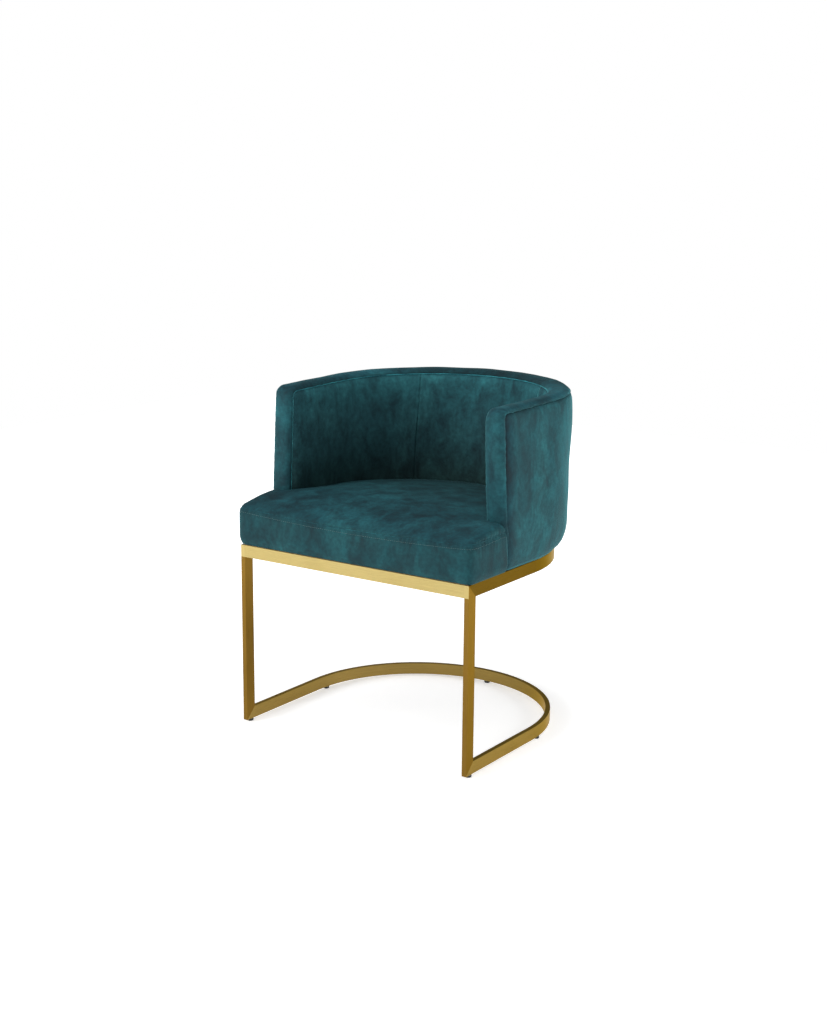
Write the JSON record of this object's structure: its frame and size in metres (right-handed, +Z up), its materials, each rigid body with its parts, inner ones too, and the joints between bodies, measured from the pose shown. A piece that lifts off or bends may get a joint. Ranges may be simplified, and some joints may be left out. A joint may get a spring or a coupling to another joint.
{
  "type": "barrel-back dining chair",
  "caption": "Barrel-back upholstered dining chair with a deep box seat on an open-front base bent from flat brass-finished tube.",
  "frame": {"origin": "on the floor, in the middle of the chair's footprint", "axes": "+Z up, the sitter faces -Y, +X is the sitter's left to right"},
  "size_m": [0.582, 0.568, 0.709],
  "materials": {
    "brass": "brushed",
    "velvet": "velvet",
    "velvet_panel": "velvet",
    "velvet_band": "velvet",
    "foam": "open-cell foam",
    "padding": "polyester wadding",
    "plywood": "unfinished",
    "hardwood": "unfinished",
    "zinc_steel": "zinc plated",
    "glide_plastic": "moulded",
    "lining": "non-woven"
  },
  "bodies": {
    "chair": {"front_rail": "brass", "upper_rail": "brass", "left_leg": "brass", "right_leg": "brass", "floor_rail": "brass", "mounting_tabs": "brass", "glide_inserts": "zinc_steel", "seat_bolts": "zinc_steel", "seat_washers": "zinc_steel", "seat_tee_nuts": "zinc_steel", "back_bolts": "zinc_steel", "back_washers": "zinc_steel", "back_tee_nuts": "zinc_steel", "arm_post_inserts": "zinc_steel", "dust_cover_staples": "zinc_steel", "seat_board": "plywood", "back_base_ring": "plywood", "back_shell": "plywood", "left_arm_post": "hardwood", "right_arm_post": "hardwood", "seat_foam": "foam", "inside_foam": "foam", "outside_padding": "padding", "seat_top_panel": "velvet", "seat_boxing": "velvet_band", "left_inside_panel": "velvet_panel", "middle_inside_panel": "velvet_panel", "right_inside_panel": "velvet_panel", "outside_panel": "velvet_panel", "rim_band": "velvet_band", "dust_cover": "lining"},
    "glide_front_left": {"glide_pad_front_left": "glide_plastic", "glide_stud_front_left": "zinc_steel"},
    "glide_front_right": {"glide_pad_front_right": "glide_plastic", "glide_stud_front_right": "zinc_steel"},
    "glide_side_left": {"glide_pad_side_left": "glide_plastic", "glide_stud_side_left": "zinc_steel"},
    "glide_side_right": {"glide_pad_side_right": "glide_plastic", "glide_stud_side_right": "zinc_steel"},
    "glide_rear": {"glide_pad_rear": "glide_plastic", "glide_stud_rear": "zinc_steel"}
  },
  "joints": [
    {"name": "glide_front_left_adjust", "type": "slide", "parent": "chair", "child": "glide_front_left", "axis": [0, 0, -1], "range_m": [0, 0.006]},
    {"name": "glide_front_right_adjust", "type": "slide", "parent": "chair", "child": "glide_front_right", "axis": [0, 0, -1], "range_m": [0, 0.006]},
    {"name": "glide_side_left_adjust", "type": "slide", "parent": "chair", "child": "glide_side_left", "axis": [0, 0, -1], "range_m": [0, 0.006]},
    {"name": "glide_side_right_adjust", "type": "slide", "parent": "chair", "child": "glide_side_right", "axis": [0, 0, -1], "range_m": [0, 0.006]},
    {"name": "glide_rear_adjust", "type": "slide", "parent": "chair", "child": "glide_rear", "axis": [0, 0, -1], "range_m": [0, 0.006]}
  ]
}
